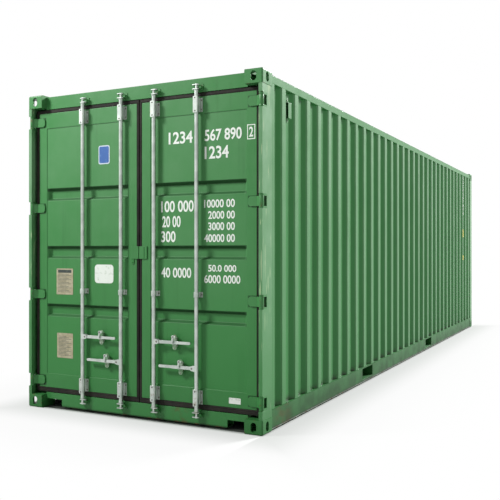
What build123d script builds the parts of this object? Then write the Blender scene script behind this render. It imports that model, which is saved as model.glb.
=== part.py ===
"""Freight container, thirty foot long and nine and a half foot high, with two hinged end doors.

Millimetres. The origin lies on the ground under the middle of the box. +Z is up, the doors face -Y
and the photographed long side faces +X. Depths called "in" are counted from the plane of the corner
castings' end faces towards the inside.
"""
import os

from build123d import *

os.makedirs("parts", exist_ok=True)

# Outer size over the corner castings
length = 9125
width = 2438
height = 2896

# Corner castings
casting_long = 178
casting_wide = 162
casting_high = 118
casting_wall = 14
casting_plate = 28
top_slot_long = 124.5
top_slot_wide = 63.5
face_slot_high = 79.4
face_slot_wide = 51
slot_side_in = 89.5
slot_end_in = 103.5
casting_corner = 14

# Shell
skin_set_in = 6
post_set_in = 3
rail_lift = 12.5
plate = 6
post_plate = 8
sheet = 2
wall_pitch = 271
wall_slope = 66
wall_valley = 69
wall_deep = 36
first_valley_in = 457
lead_valley = 23
lead_valley_in = 232
end_pitch = 250
end_slope = 18
end_valley = 104
end_deep = 45
roof_pitch = 209
roof_slope = 14
roof_ridge = 91
roof_deep = 20
roof_clear = 8
roof_flange = 73
roof_first = 60
end_lap = 20
top_rail_size = 60
top_rail_wall = 4
bottom_rail_high = 160
bottom_rail_top_flange = 48
bottom_rail_low_flange = 30
bottom_rail_lip = 4
floor_thick = 28
cross_high = 122
cross_flange = 45
cross_plate = 4
cross_spacing = 300

# Fork pockets, counted from the door end
pocket_places = [2687, 5600]
pocket_wide = 360
pocket_high = 115
pocket_lift = 30
pocket_plate = 6

# Ventilator hoods, in the first full valley of each long side
vent_in = 526
vent_along = 64
vent_drop = 93
vent_high = 135
vent_out = 28
vent_sheet = 2
vent_foot_wide = 30
vent_foot_high = 205
vent_foot_thick = 3

# Door end
post_strip = 34
post_lip_in = 50
door_face_in = 62
door_thick = 50
stop_gap = 6
stop_wide = 104
stop_overlap = 7
seal_gap = 5
sill_top = 135
header_bottom_drop = 128
header_top_drop = 12
frame_face_in = 64
notch_wide = 187
notch_top = 78

# Door leaves
leaf_side_gap = 81
leaf_centre = 27
leaf_low = 183
leaf_drop = 164
leaf_stile = 90
leaf_top_rail = 140
leaf_low_rail = 130
tube_wall = 3
panel_set_back = 4
rib_count = 3
rib_middle = 1438
rib_pitch = 535.5
rib_mouth = 112
rib_floor = 72
rib_deep = 34
seal_width = 35
seal_centre = 4
seal_set_back = 2
cover_high = 108
cover_reach = 85
cover_thick = 10
cover_gap = 6

# Hinges
pin_side_in = 23
pin_in = 28
pin_radius = 12
knuckle_radius = 20
knuckle_high = 80
lug_thick = 18
lug_gap = 1
notch_in = 85
notch_reach = 35
lug_inner = 14
blade_thick = 12
blade_reach = 131
blade_bend = 50
blade_nose = 4
blade_corner = 18
hinge_count = 4
low_hinge = 250
top_hinge_drop = 248
running_gap = 0.3

# Lock rods and their brackets
rod_inner = 173
rod_outer = 598
rod_in = 28
rod_radius = 17
rod_low = 72
rod_top_drop = 63
sleeve_radius = 23
sleeve_high = 138
sleeve_collar = 12
collar_step = 4
sleeve_neck = 28
base_wide = 82
base_high = 115
base_thick = 6
guide_high = 45
guide_level = 1090
low_bearing = 240
top_bearing_drop = 236

# Cams at the rods' ends and the keepers that they stand in
cam_from_end = 26
cam_spread = 18
cam_thick = 7
cam_long = 40
cam_short = 26
cam_wide = 32
cam_core_radius = 10
rod_ring_radius = 20
rod_ring_high = 6
rod_ring_from_end = 60
keeper_wide = 96
keeper_high = 52
keeper_plate = 5
keeper_lug_radius = 13
keeper_lug_at = 30
keeper_lug_out = 34

# Handles and catches
upper_handle = 684
lower_handle = 480
hub_reach = 38
hub_high = 54
hub_radius = 20
handle_reach = 358
handle_high = 27
handle_thick = 12
handle_in = 24
grip_from = 240
grip_high = 23
cheek_thick = 6
cheek_gap = 1
rivet_radius = 6
upper_cradle = 206
lower_cradle = 159
cradle_wide = 40
cradle_high = 128
cradle_thick = 6
spacer_wide = 24
spacer_high = 84
ledge_wide = 32
ledge_thick = 6
catch_rise = 48
catch_wide = 16
catch_drop = 8
catch_lean = 10
catch_thumb = 26
catch_thick = 7
catch_gap = 6
stud_radius = 6
stud_end_in = 3
boss_radius = 14

# Places worked out from the sizes above
door_y = -length / 2
end_y = length / 2
side_x = width / 2
skin_x = side_x - skin_set_in
post_x = side_x - post_set_in
post_low = casting_high
post_high = height - casting_high
inner_x = side_x - casting_wide
top_rail_top = height - roof_clear - roof_deep
top_rail_low = top_rail_top - top_rail_size
bottom_rail_top = rail_lift + bottom_rail_high
pocket_low = rail_lift + pocket_lift
floor_low = pocket_low + pocket_high + pocket_plate
floor_top = floor_low + floor_thick
pin_x = side_x - pin_side_in
header_bottom = height - header_bottom_drop
header_top = height - header_top_drop
leaf_edge = side_x - leaf_side_gap
leaf_high = height - leaf_drop
rod_top = height - rod_top_drop
top_bearing = height - top_bearing_drop
leaf_back_in = door_face_in + door_thick
stop_in = leaf_back_in + stop_gap
stop_back_in = casting_long
stop_foot = leaf_high - stop_overlap
rail_start = door_y + casting_long
rail_end = end_y - casting_long
hinge_step = (height - top_hinge_drop - low_hinge) / (hinge_count - 1)
hinge_levels = [low_hinge + k * hinge_step for k in range(hinge_count)]
rib_levels = [rib_middle + (k - (rib_count - 1) / 2) * rib_pitch for k in range(rib_count)]
rod_places = [-rod_outer, -rod_inner, rod_inner, rod_outer]
handle_levels = [upper_handle, lower_handle, upper_handle, lower_handle]
cradle_reaches = [upper_cradle, lower_cradle, upper_cradle, lower_cradle]
handle_sides = [1, -1, 1, -1]
frame_face = door_y + frame_face_in
stop_y = door_y + stop_in
blind_wall_y = end_y - skin_set_in
return_y = end_y - post_set_in - plate


def save(piece, name):
    """Label a finished piece and write its file."""
    piece.part.label = name
    export_step(piece.part, f"parts/{name}.step")


def bar(x0, x1, y0, y1, z0, z1, mode=Mode.ADD):
    """A plain rectangular block between two corners, added to the part that is being built."""
    with Locations(((x0 + x1) / 2, (y0 + y1) / 2, (z0 + z1) / 2)):
        Box(abs(x1 - x0), abs(y1 - y0), abs(z1 - z0), mode=mode)


def strip(a0, a1, b0, b1, mode=Mode.ADD):
    """A rectangle between two corners, added to the sketch that is being drawn."""
    with Locations(((a0 + a1) / 2, (b0 + b1) / 2)):
        Rectangle(abs(a1 - a0), abs(b1 - b0), mode=mode)


def corrugation(start, end, valleys, slope, base, other, thick):
    """Closed outline of a ribbed sheet that runs along base and steps to other in each (place, floor)."""
    line = [(start, base)]
    for place, floor in valleys:
        line += [(place, base), (place + slope, other)]
        line += [(place + slope + floor, other), (place + 2 * slope + floor, base)]
    line.append((end, base))
    return line + [(a, b + thick) for a, b in reversed(line)]


def even_valleys(first, end, pitch, slope, floor):
    """Valleys at one pitch, as many as end before the sheet does."""
    count = int((end - first - 2 * slope - floor) // pitch) + 1
    return [(first + k * pitch, floor) for k in range(count)]


# Corner castings: hollow steel blocks with a long slot above or below and an oval one on each outer face
def corner_casting(side, end, level):
    """The casting at one corner: side and end are -1 or 1, level is 0 below and 1 above."""
    x_out = side * side_x
    x_in = side * inner_x
    y_out = end * end_y
    y_in = end * (end_y - casting_long)
    z_low = level * (height - casting_high)
    mid_z = z_low + casting_high / 2
    cave_low = z_low + (casting_plate if level == 0 else casting_wall)
    cave_high = z_low + casting_high - (casting_plate if level == 1 else casting_wall)
    with BuildPart() as casting:
        bar(x_in, x_out, y_in, y_out, z_low, z_low + casting_high)
        outermost = (x_out, y_out, height * level)
        fillet(casting.edges().sort_by(lambda edge: edge.distance_to(outermost))[:3], casting_corner)
        bar(
            x_in + side * casting_wall, x_out - side * casting_wall,
            y_in + end * casting_wall, y_out - end * casting_wall,
            cave_low, cave_high, Mode.SUBTRACT,
        )
        with BuildSketch(Plane.XY.offset(z_low if level == 0 else cave_high)):
            with Locations((side * (side_x - slot_side_in), end * (end_y - slot_end_in))):
                SlotOverall(top_slot_long, top_slot_wide, rotation=90)
        extrude(amount=casting_plate, mode=Mode.SUBTRACT)
        with BuildSketch(Plane.XZ.offset(-y_out)):
            with Locations((side * (side_x - casting_wide / 2), mid_z)):
                SlotOverall(face_slot_high, face_slot_wide, rotation=90)
        extrude(amount=end * casting_wall, mode=Mode.SUBTRACT)
        with BuildSketch(Plane.YZ.offset(x_out)):
            with Locations((end * (end_y - casting_long / 2), mid_z)):
                SlotOverall(face_slot_high, face_slot_wide, rotation=90)
        extrude(amount=-side * casting_wall, mode=Mode.SUBTRACT)
    return casting.part


castings = [corner_casting(side, end, level) for side in (-1, 1) for end in (-1, 1) for level in (0, 1)]
with BuildPart() as corner_castings:
    add(castings)
save(corner_castings, "corner_castings")

# Door posts: a folded outer section with a front lip, and the inner channel that the doors close on
with BuildPart() as door_posts:
    front = door_y + post_set_in
    stop = door_y + stop_in
    back = door_y + stop_back_in
    for side in (-1, 1):
        web = post_x - post_plate
        lip = post_x - post_strip
        channel = web - stop_wide
        with BuildSketch(Plane.XY.offset(post_low)):
            strip(side * web, side * post_x, front, back)
            strip(side * lip, side * post_x, front, front + post_plate)
            strip(side * lip, side * (lip + post_plate), front, door_y + post_lip_in)
            strip(side * channel, side * web, stop, stop + post_plate)
            strip(side * channel, side * web, back - post_plate, back)
            strip(side * channel, side * (channel + post_plate), stop, back)
        extrude(amount=post_high - post_low)
        for level in hinge_levels:
            half = knuckle_high / 2 + lug_gap + lug_thick
            bar(
                side * (pin_x - notch_reach), side * side_x, door_y, door_y + notch_in,
                level - half, level + half, Mode.SUBTRACT,
            )
save(door_posts, "door_posts")

# Hinge lugs: two plates in each notch of the post with the pin between them
with BuildPart() as hinge_lugs:
    for side in (-1, 1):
        for level in hinge_levels:
            low = level - knuckle_high / 2 - lug_gap - lug_thick
            high = level + knuckle_high / 2 + lug_gap
            for z in (low, high):
                with BuildSketch(Plane.XY.offset(z)):
                    strip(side * (pin_x - lug_inner), side * post_x, door_y + pin_in, door_y + notch_in)
                    with Locations((side * pin_x, door_y + pin_in)):
                        Circle(knuckle_radius)
                extrude(amount=lug_thick)
            with BuildSketch(Plane.XY.offset(low)):
                with Locations((side * pin_x, door_y + pin_in)):
                    Circle(pin_radius)
            extrude(amount=high + lug_thick - low)
save(hinge_lugs, "hinge_lugs")

# Blind end posts: an angle whose return carries the end wall
with BuildPart() as blind_posts:
    for side in (-1, 1):
        with BuildSketch(Plane.XY.offset(post_low)):
            strip(side * (post_x - plate), side * post_x, rail_end, return_y)
            strip(side * inner_x, side * post_x, return_y, return_y + plate)
        extrude(amount=post_high - post_low)
save(blind_posts, "blind_posts")

# Door header and door sill: folded plates between the castings, each with a step that the leaves close on
with BuildPart() as door_header:
    with BuildSketch(Plane.YZ.offset(-inner_x)):
        strip(frame_face, frame_face + plate, header_bottom, header_top)
        strip(frame_face, stop_y + plate, header_bottom, header_bottom + plate)
        strip(stop_y, stop_y + plate, stop_foot, header_bottom + plate)
        strip(stop_y, rail_start, stop_foot, stop_foot + plate)
        strip(rail_start - plate, rail_start, stop_foot, header_top)
        strip(frame_face, rail_start, header_top - plate, header_top)
    extrude(amount=2 * inner_x)
save(door_header, "door_header")

with BuildPart() as door_sill:
    with BuildSketch(Plane.YZ.offset(-inner_x)):
        strip(frame_face, frame_face + plate, rail_lift, sill_top)
        strip(frame_face, stop_y + plate, sill_top - plate, sill_top)
        strip(stop_y, stop_y + plate, sill_top - plate, floor_top)
        strip(stop_y, rail_start, floor_top - plate, floor_top)
        strip(frame_face, rail_start, rail_lift, rail_lift + plate)
        strip(rail_start - plate, rail_start, rail_lift, floor_low)
    extrude(amount=2 * inner_x)
    for side in (-1, 1):
        bar(
            side * (inner_x - notch_wide), side * inner_x, door_y, rail_start, 0, notch_top,
            Mode.SUBTRACT,
        )
save(door_sill, "door_sill")

# Blind end rails: a square tube above with a plate that closes the roof between castings, a channel below
with BuildPart() as blind_top_rail:
    with BuildSketch(Plane.YZ.offset(-inner_x)):
        strip(rail_end, blind_wall_y, top_rail_top, top_rail_top + plate)
        strip(blind_wall_y - top_rail_size, blind_wall_y, top_rail_low, top_rail_top)
        strip(
            blind_wall_y - top_rail_size + top_rail_wall, blind_wall_y - top_rail_wall,
            top_rail_low + top_rail_wall, top_rail_top - top_rail_wall, Mode.SUBTRACT,
        )
    extrude(amount=2 * inner_x)
save(blind_top_rail, "blind_top_rail")

with BuildPart() as blind_sill:
    with BuildSketch(Plane.YZ.offset(-inner_x)):
        strip(blind_wall_y - plate, blind_wall_y, rail_lift, bottom_rail_top)
        strip(blind_wall_y - bottom_rail_top_flange, blind_wall_y, bottom_rail_top - plate, bottom_rail_top)
        strip(blind_wall_y - bottom_rail_low_flange, blind_wall_y, rail_lift, rail_lift + plate)
    extrude(amount=2 * inner_x)
save(blind_sill, "blind_sill")

# Side rails: square tube above, folded channel below with the fork pockets cut through it
with BuildPart() as top_side_rails:
    for side in (-1, 1):
        x_in = skin_x - top_rail_size
        with BuildSketch(Plane.XZ.offset(-rail_end)):
            strip(side * x_in, side * skin_x, top_rail_low, top_rail_top)
            strip(
                side * (x_in + top_rail_wall), side * (skin_x - top_rail_wall),
                top_rail_low + top_rail_wall, top_rail_top - top_rail_wall, Mode.SUBTRACT,
            )
        extrude(amount=rail_end - rail_start)
save(top_side_rails, "top_side_rails")

with BuildPart() as bottom_side_rails:
    for side in (-1, 1):
        with BuildSketch(Plane.XZ.offset(-rail_end)):
            strip(side * (skin_x - plate), side * skin_x, rail_lift, bottom_rail_top)
            strip(
                side * (skin_x - bottom_rail_top_flange), side * skin_x,
                bottom_rail_top - plate, bottom_rail_top,
            )
            strip(
                side * (skin_x - bottom_rail_low_flange), side * (skin_x + bottom_rail_lip),
                rail_lift, rail_lift + plate,
            )
        extrude(amount=rail_end - rail_start)
    for place in pocket_places:
        y = door_y + place
        bar(
            -side_x, side_x, y - pocket_wide / 2, y + pocket_wide / 2,
            pocket_low, pocket_low + pocket_high, Mode.SUBTRACT,
        )
save(bottom_side_rails, "bottom_side_rails")

# Fork pockets: a plate tunnel across the base at each cut
with BuildPart() as fork_pockets:
    x_in = skin_x - plate
    for place in pocket_places:
        y = door_y + place
        half = pocket_wide / 2
        with BuildSketch(Plane.YZ.offset(-x_in)):
            strip(y - half - pocket_plate, y + half + pocket_plate, pocket_low - pocket_plate, floor_low)
            strip(y - half, y + half, pocket_low, pocket_low + pocket_high, Mode.SUBTRACT)
        extrude(amount=2 * x_in)
save(fork_pockets, "fork_pockets")

# Side walls: ribbed sheets between the rails, flat at both ends where they lap the posts
valleys = [(door_y + lead_valley_in, lead_valley)]
valleys += even_valleys(door_y + first_valley_in, rail_end, wall_pitch, wall_slope, wall_valley)
for side, name in ((-1, "left_side_wall"), (1, "right_side_wall")):
    outline = corrugation(
        rail_start, rail_end, valleys, wall_slope, skin_x - sheet, skin_x - wall_deep, sheet,
    )
    with BuildPart() as side_wall:
        with BuildSketch(Plane.XY.offset(bottom_rail_top)):
            with BuildLine():
                Polyline(*[(side * x, y) for y, x in outline], close=True)
            make_face()
        extrude(amount=top_rail_low - bottom_rail_top)
    save(side_wall, name)

# End wall: deeper and steeper ribs, behind the returns of the blind posts
end_edge = inner_x + end_lap
end_ribs = int((2 * end_edge - 2 * end_lap) // end_pitch)
end_first = -(end_ribs - 1) * end_pitch / 2 - end_slope - end_valley / 2
with BuildPart() as blind_end_wall:
    with BuildSketch(Plane.XY.offset(bottom_rail_top)):
        with BuildLine():
            outline = corrugation(
                -end_edge, end_edge, [(end_first + k * end_pitch, end_valley) for k in range(end_ribs)],
                end_slope, return_y - sheet, return_y - end_deep, sheet,
            )
            Polyline(*outline, close=True)
        make_face()
    extrude(amount=top_rail_low - bottom_rail_top)
    for side in (-1, 1):
        bar(side * inner_x, side * side_x, rail_end, end_y, post_high, top_rail_low, Mode.SUBTRACT)
save(blind_end_wall, "blind_end_wall")

# Roof: flat over the rails, with shallow ridges across the sheet that are closed at their ends
ridge_x = skin_x - roof_flange
ridge_top = height - roof_clear
ridges = even_valleys(rail_start + roof_first, rail_end, roof_pitch, roof_slope, roof_ridge)
with BuildPart() as roof:
    with BuildSketch(Plane.YZ.offset(-ridge_x)):
        with BuildLine():
            outline = corrugation(
                rail_start, rail_end, ridges, roof_slope, top_rail_top, ridge_top - sheet, sheet,
            )
            Polyline(*outline, close=True)
        make_face()
    extrude(amount=2 * ridge_x)
    for side in (-1, 1):
        with BuildSketch(Plane.YZ.offset(side * ridge_x)):
            for place, top in ridges:
                with BuildLine():
                    Polyline(
                        (place, top_rail_top), (place + roof_slope, ridge_top),
                        (place + roof_slope + top, ridge_top),
                        (place + 2 * roof_slope + top, top_rail_top), close=True,
                    )
                make_face()
        extrude(amount=side * sheet)
        bar(side * ridge_x, side * skin_x, rail_start, rail_end, top_rail_top, top_rail_top + sheet)
save(roof, "roof")

# Floor boards and the steel cross members under them
with BuildPart() as floor_boards:
    edge = skin_x - bottom_rail_top_flange
    bar(-edge, edge, rail_start, blind_wall_y - bottom_rail_top_flange, floor_low, floor_top)
    for side in (-1, 1):
        bar(side * inner_x, side * side_x, rail_end, end_y, floor_low, floor_top, Mode.SUBTRACT)
save(floor_boards, "floor_boards")

with BuildPart() as cross_members:
    count = int((rail_end - rail_start) // cross_spacing)
    pitch = (rail_end - rail_start) / count
    clear = pocket_wide / 2 + 2 * cross_flange
    x_in = skin_x - plate
    for k in range(1, count):
        y = rail_start + k * pitch
        if all(abs(y - door_y - place) > clear for place in pocket_places):
            with BuildSketch(Plane.YZ.offset(-x_in)):
                strip(y, y + cross_plate, floor_low - cross_high, floor_low)
                strip(y, y + cross_flange, floor_low - cross_plate, floor_low)
                strip(y, y + cross_flange, floor_low - cross_high, floor_low - cross_high + cross_plate)
            extrude(amount=2 * x_in)
save(cross_members, "cross_members")

# Ventilators: a pressed hood on a foot plate, open towards the doors so that rain from above stays out
with BuildPart() as ventilators:
    for side in (-1, 1):
        foot = skin_x - wall_deep + sheet
        top = top_rail_low - vent_drop
        near = door_y + vent_in
        far = near + vent_along
        middle = (near + far) / 2
        z = top - vent_high / 2
        bar(
            side * foot, side * (foot + vent_foot_thick), middle - vent_foot_wide / 2,
            middle + vent_foot_wide / 2, z - vent_foot_high / 2, z + vent_foot_high / 2,
        )
        bar(side * foot, side * (foot + vent_out), near, far, top - vent_high, top)
        bar(
            side * (foot + vent_foot_thick), side * (foot + vent_out - vent_sheet), near,
            far - vent_sheet, top - vent_high + vent_sheet, top - vent_sheet, Mode.SUBTRACT,
        )
save(ventilators, "ventilators")

# Cam keepers: a plate on header or sill with a round lug to each side of the rod, caught between the cams
with BuildPart() as cam_keepers:
    for x in rod_places:
        for z in (rod_low + cam_from_end, rod_top - cam_from_end):
            bar(
                x - keeper_wide / 2, x + keeper_wide / 2, frame_face - keeper_plate, frame_face,
                z - keeper_high / 2, z + keeper_high / 2,
            )
            with BuildSketch(Plane.XZ.offset(-frame_face)):
                with Locations((x - keeper_lug_at, z), (x + keeper_lug_at, z)):
                    Circle(keeper_lug_radius)
            extrude(amount=keeper_lug_out)
save(cam_keepers, "cam_keepers")


def rod_bracket(x, level, seat, tall, foot, collar):
    """A foot plate on the leaf with a sleeve round the rod; the sleeve steps in by a collar at its ends."""
    rod_y = door_y + rod_in
    low = level - tall / 2
    with BuildPart() as bracket:
        bar(
            x - base_wide / 2, x + base_wide / 2, seat - base_thick, seat,
            level - foot / 2, level + foot / 2,
        )
        for inset, radius in ((0, sleeve_radius - collar_step), (collar, sleeve_radius)):
            with BuildSketch(Plane.XY.offset(low + inset)):
                with Locations((x, rod_y)):
                    Circle(radius)
            extrude(amount=tall - 2 * inset)
        bar(
            x - sleeve_neck / 2, x + sleeve_neck / 2, rod_y, seat - base_thick,
            low + collar, low + tall - collar,
        )
        with BuildSketch(Plane.XY.offset(low)):
            with Locations((x, rod_y)):
                Circle(rod_radius + running_gap)
        extrude(amount=tall, mode=Mode.SUBTRACT)
    return bracket.part


def handle_cradle(at, level, seat):
    """A rounded plate on a spacer, with the ledge that the handle lies on and the stud of its catch."""
    base = door_y + handle_in + handle_thick / 2 + catch_gap
    ledge_top = level - handle_high / 2 - running_gap
    with BuildPart() as cradle:
        with BuildSketch(Plane.XZ.offset(-base - cradle_thick)):
            with Locations((at, level)):
                SlotOverall(cradle_high, cradle_wide, rotation=90)
        extrude(amount=cradle_thick)
        bar(
            at - spacer_wide / 2, at + spacer_wide / 2, base + cradle_thick, seat,
            level - spacer_high / 2, level + spacer_high / 2,
        )
        bar(
            at - ledge_wide / 2, at + ledge_wide / 2, base, door_y + handle_in - handle_thick / 2,
            ledge_top - ledge_thick, ledge_top,
        )
        with BuildSketch(Plane.XZ.offset(-base)):
            with Locations((at, level + catch_rise)):
                Circle(stud_radius)
        extrude(amount=base - door_y - stud_end_in)
    return cradle.part


def door_leaf(side, name):
    """One door leaf: tube frame, ribbed panel, seal, hinge blades, brackets, cradles and centre plate."""
    face = door_y + door_face_in
    back = door_y + leaf_back_in
    left = side * leaf_centre
    right = side * leaf_edge
    with BuildPart() as frame:
        bar(left, right, face, back, leaf_low, leaf_high)
        bar(
            left + side * leaf_stile, right - side * leaf_stile, face, back,
            leaf_low + leaf_low_rail, leaf_high - leaf_top_rail, Mode.SUBTRACT,
        )
        bar(
            left + side * tube_wall, left + side * (leaf_stile - tube_wall),
            face + tube_wall, back - tube_wall, leaf_low + tube_wall, leaf_high - tube_wall, Mode.SUBTRACT,
        )
        bar(
            right - side * tube_wall, right - side * (leaf_stile - tube_wall),
            face + tube_wall, back - tube_wall, leaf_low + tube_wall, leaf_high - tube_wall, Mode.SUBTRACT,
        )
        for low, high in ((leaf_low, leaf_low + leaf_low_rail), (leaf_high - leaf_top_rail, leaf_high)):
            bar(
                left + side * leaf_stile, right - side * leaf_stile, face + tube_wall, back - tube_wall,
                low + tube_wall, high - tube_wall, Mode.SUBTRACT,
            )
    save(frame, f"{name}_frame")

    with BuildPart() as panel:
        low = leaf_low + leaf_low_rail
        high = leaf_high - leaf_top_rail
        out = face + panel_set_back
        line = [(out, low)]
        for level in rib_levels:
            line += [
                (out, level - rib_mouth / 2), (out + rib_deep, level - rib_floor / 2),
                (out + rib_deep, level + rib_floor / 2), (out, level + rib_mouth / 2),
            ]
        line.append((out, high))
        line += [(y + sheet, z) for y, z in reversed(line)]
        with BuildSketch(Plane.YZ.offset(left + side * leaf_stile)):
            with BuildLine():
                Polyline(*line, close=True)
            make_face()
        extrude(amount=side * (leaf_edge - leaf_centre - 2 * leaf_stile))
    save(panel, f"{name}_panel")

    with BuildPart() as seal:
        outer = leaf_edge + seal_width
        top = header_bottom - seal_gap
        low = sill_top + seal_gap
        bar(side * seal_centre, side * outer, face + seal_set_back, stop_y - seal_gap, low, top)
        bar(left, right, face, stop_y, leaf_low, leaf_high, Mode.SUBTRACT)
    save(seal, f"{name}_seal")

    with BuildPart() as blades:
        for level in hinge_levels:
            with BuildSketch(Plane.XY.offset(level - knuckle_high / 2)):
                pin = (side * pin_x, door_y + pin_in)
                tip = side * (pin_x - blade_reach)
                bend = side * (pin_x - blade_bend)
                inner = side * (pin_x - knuckle_radius)
                with BuildLine():
                    Polyline(
                        (tip, face), (tip, face - blade_thick), (bend, face - blade_thick),
                        (inner, pin[1] - blade_nose), (side * pin_x, pin[1] - blade_nose),
                        (side * pin_x, pin[1] + knuckle_radius), (inner, pin[1] + knuckle_radius),
                        (bend, face), close=True,
                    )
                make_face()
                with Locations(pin):
                    Circle(knuckle_radius)
                    Circle(pin_radius + running_gap, mode=Mode.SUBTRACT)
            extrude(amount=knuckle_high)
        across = blades.edges().filter_by(Axis.Y).group_by(Axis.X)
        chamfer(across[0 if side > 0 else -1], blade_corner)
    save(blades, f"{name}_hinges")

    places = [x for x in rod_places if x * side > 0]
    inner_face = face + panel_set_back
    with BuildPart() as brackets:
        add([rod_bracket(x, low_bearing, face, sleeve_high, base_high, sleeve_collar) for x in places])
        add([rod_bracket(x, guide_level, inner_face, guide_high, guide_high, 0) for x in places])
        add([rod_bracket(x, top_bearing, face, sleeve_high, base_high, sleeve_collar) for x in places])
    save(brackets, f"{name}_rod_brackets")

    gear = zip(rod_places, handle_levels, cradle_reaches, handle_sides)
    with BuildPart() as cradles:
        add([handle_cradle(x + hand * reach, z, inner_face) for x, z, reach, hand in gear if x in places])
    save(cradles, f"{name}_handle_cradles")

    with BuildPart() as centre_plate:
        bar(
            side * cover_gap / 2, side * cover_reach, face - cover_thick, face,
            rib_middle - cover_high / 2, rib_middle + cover_high / 2,
        )
    save(centre_plate, f"{name}_centre_plate")


door_leaf(-1, "left_door")
door_leaf(1, "right_door")


def cam_plate(x, y, hand, level):
    """A flat cam, longer on the handle's side, with a bore for the rod's end."""
    with BuildPart() as cam:
        with BuildSketch(Plane.XY.offset(level - cam_thick / 2)):
            with Locations((x + hand * (cam_long - cam_short) / 2, y)):
                SlotOverall(cam_long + cam_short, cam_wide)
            with Locations((x, y)):
                Circle(cam_core_radius + running_gap, mode=Mode.SUBTRACT)
        extrude(amount=cam_thick)
    return cam.part


def lock_rod(index):
    """A lock rod with the clevis of its handle, and a pair of cam plates slipped over each thinner end."""
    x = rod_places[index]
    hand = handle_sides[index]
    level = handle_levels[index]
    y = door_y + rod_in
    with BuildPart() as rod:
        for low, high, radius in (
            (rod_low + rod_ring_from_end, rod_top - rod_ring_from_end, rod_radius),
            (rod_low, rod_top, cam_core_radius),
            (rod_low + rod_ring_from_end - rod_ring_high, rod_low + rod_ring_from_end, rod_ring_radius),
            (rod_top - rod_ring_from_end, rod_top - rod_ring_from_end + rod_ring_high, rod_ring_radius),
        ):
            with BuildSketch(Plane.XY.offset(low)):
                with Locations((x, y)):
                    Circle(radius)
            extrude(amount=high - low)
        front = handle_in - handle_thick / 2 - cheek_gap - cheek_thick
        rear = handle_in + handle_thick / 2 + cheek_gap
        pivot = x + hand * hub_reach
        for depth in (front, rear):
            with BuildSketch(Plane.XZ.offset(-(door_y + depth + cheek_thick))):
                with BuildLine():
                    Polyline(
                        (x, level - hub_high / 2), (pivot, level - hub_radius),
                        (pivot, level + hub_radius), (x, level + hub_high / 2), close=True,
                    )
                make_face()
                with Locations((pivot, level)):
                    Circle(hub_radius)
            extrude(amount=cheek_thick)
        with BuildSketch(Plane.XZ.offset(-(door_y + rear + cheek_thick))):
            with Locations((pivot, level)):
                Circle(rivet_radius)
        extrude(amount=rear + cheek_thick - front)
        for z in (rod_low + cam_from_end, rod_top - cam_from_end):
            for step in (-cam_spread, cam_spread):
                add(cam_plate(x, y, hand, z + step))
    save(rod, f"lock_rod_{index + 1}")


def handle_bar(index):
    """A flat handle with a round-ended grip, on the rivet of its clevis; it lifts before it swings out."""
    hand = handle_sides[index]
    rod_x = rod_places[index]
    pivot = rod_x + hand * hub_reach
    level = handle_levels[index]
    start = rod_x + hand * grip_from
    tip = rod_x + hand * handle_reach
    with BuildPart() as handle:
        with BuildSketch(Plane.XZ.offset(-(door_y + handle_in + handle_thick / 2))):
            strip(pivot, start, level - handle_high / 2, level + handle_high / 2)
            with Locations((pivot, level)):
                Circle(handle_high / 2)
            with Locations(((start + tip) / 2, level)):
                SlotOverall(abs(tip - start) + grip_high, grip_high)
            with Locations((pivot, level)):
                Circle(rivet_radius + running_gap, mode=Mode.SUBTRACT)
        extrude(amount=handle_thick)
    save(handle, f"handle_{index + 1}")


def handle_catch(index):
    """A swivelling finger on the cradle's stud that hangs in front of the handle, with a thumb tab."""
    at = rod_places[index] + handle_sides[index] * cradle_reaches[index]
    level = handle_levels[index] + catch_rise
    low = level - catch_rise - catch_drop
    half = catch_wide / 2
    with BuildPart() as catch:
        rear = door_y + handle_in - handle_thick / 2 - catch_gap
        with BuildSketch(Plane.XZ.offset(-rear)):
            with Locations((at, level)):
                Circle(boss_radius)
            with BuildLine():
                Polyline(
                    (at - half, level), (at - half - catch_lean, low), (at + half - catch_lean, low),
                    (at + half, level), close=True,
                )
            make_face()
            strip(at, at + catch_thumb, level - half, level + half)
            with Locations((at, level)):
                Circle(stud_radius + running_gap, mode=Mode.SUBTRACT)
        extrude(amount=catch_thick)
    save(catch, f"handle_catch_{index + 1}")


for number in range(len(rod_places)):
    lock_rod(number)
    handle_bar(number)
    handle_catch(number)
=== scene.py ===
import math
import random

import bmesh
import bpy
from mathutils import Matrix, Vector, noise


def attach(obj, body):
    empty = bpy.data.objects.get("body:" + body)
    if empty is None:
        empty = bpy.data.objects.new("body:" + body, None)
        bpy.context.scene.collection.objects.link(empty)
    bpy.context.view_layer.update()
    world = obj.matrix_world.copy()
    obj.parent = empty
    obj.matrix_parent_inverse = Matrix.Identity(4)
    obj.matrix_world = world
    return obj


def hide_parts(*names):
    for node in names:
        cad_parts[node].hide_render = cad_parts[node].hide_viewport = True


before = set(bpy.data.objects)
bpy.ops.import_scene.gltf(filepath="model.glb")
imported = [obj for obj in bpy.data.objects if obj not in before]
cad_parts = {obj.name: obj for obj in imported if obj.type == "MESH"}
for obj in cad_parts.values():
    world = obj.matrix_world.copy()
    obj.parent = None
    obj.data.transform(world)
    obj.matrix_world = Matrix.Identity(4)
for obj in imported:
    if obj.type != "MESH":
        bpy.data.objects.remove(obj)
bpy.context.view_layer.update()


# Corner castings. Eight hollow blocks of cast steel at the ends of the posts, sprayed with the same
# green enamel as the rest. Spreaders and hooks strike them at every lift, so the paint is chipped
# along their edges and round their slots, and rust shows there.

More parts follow.
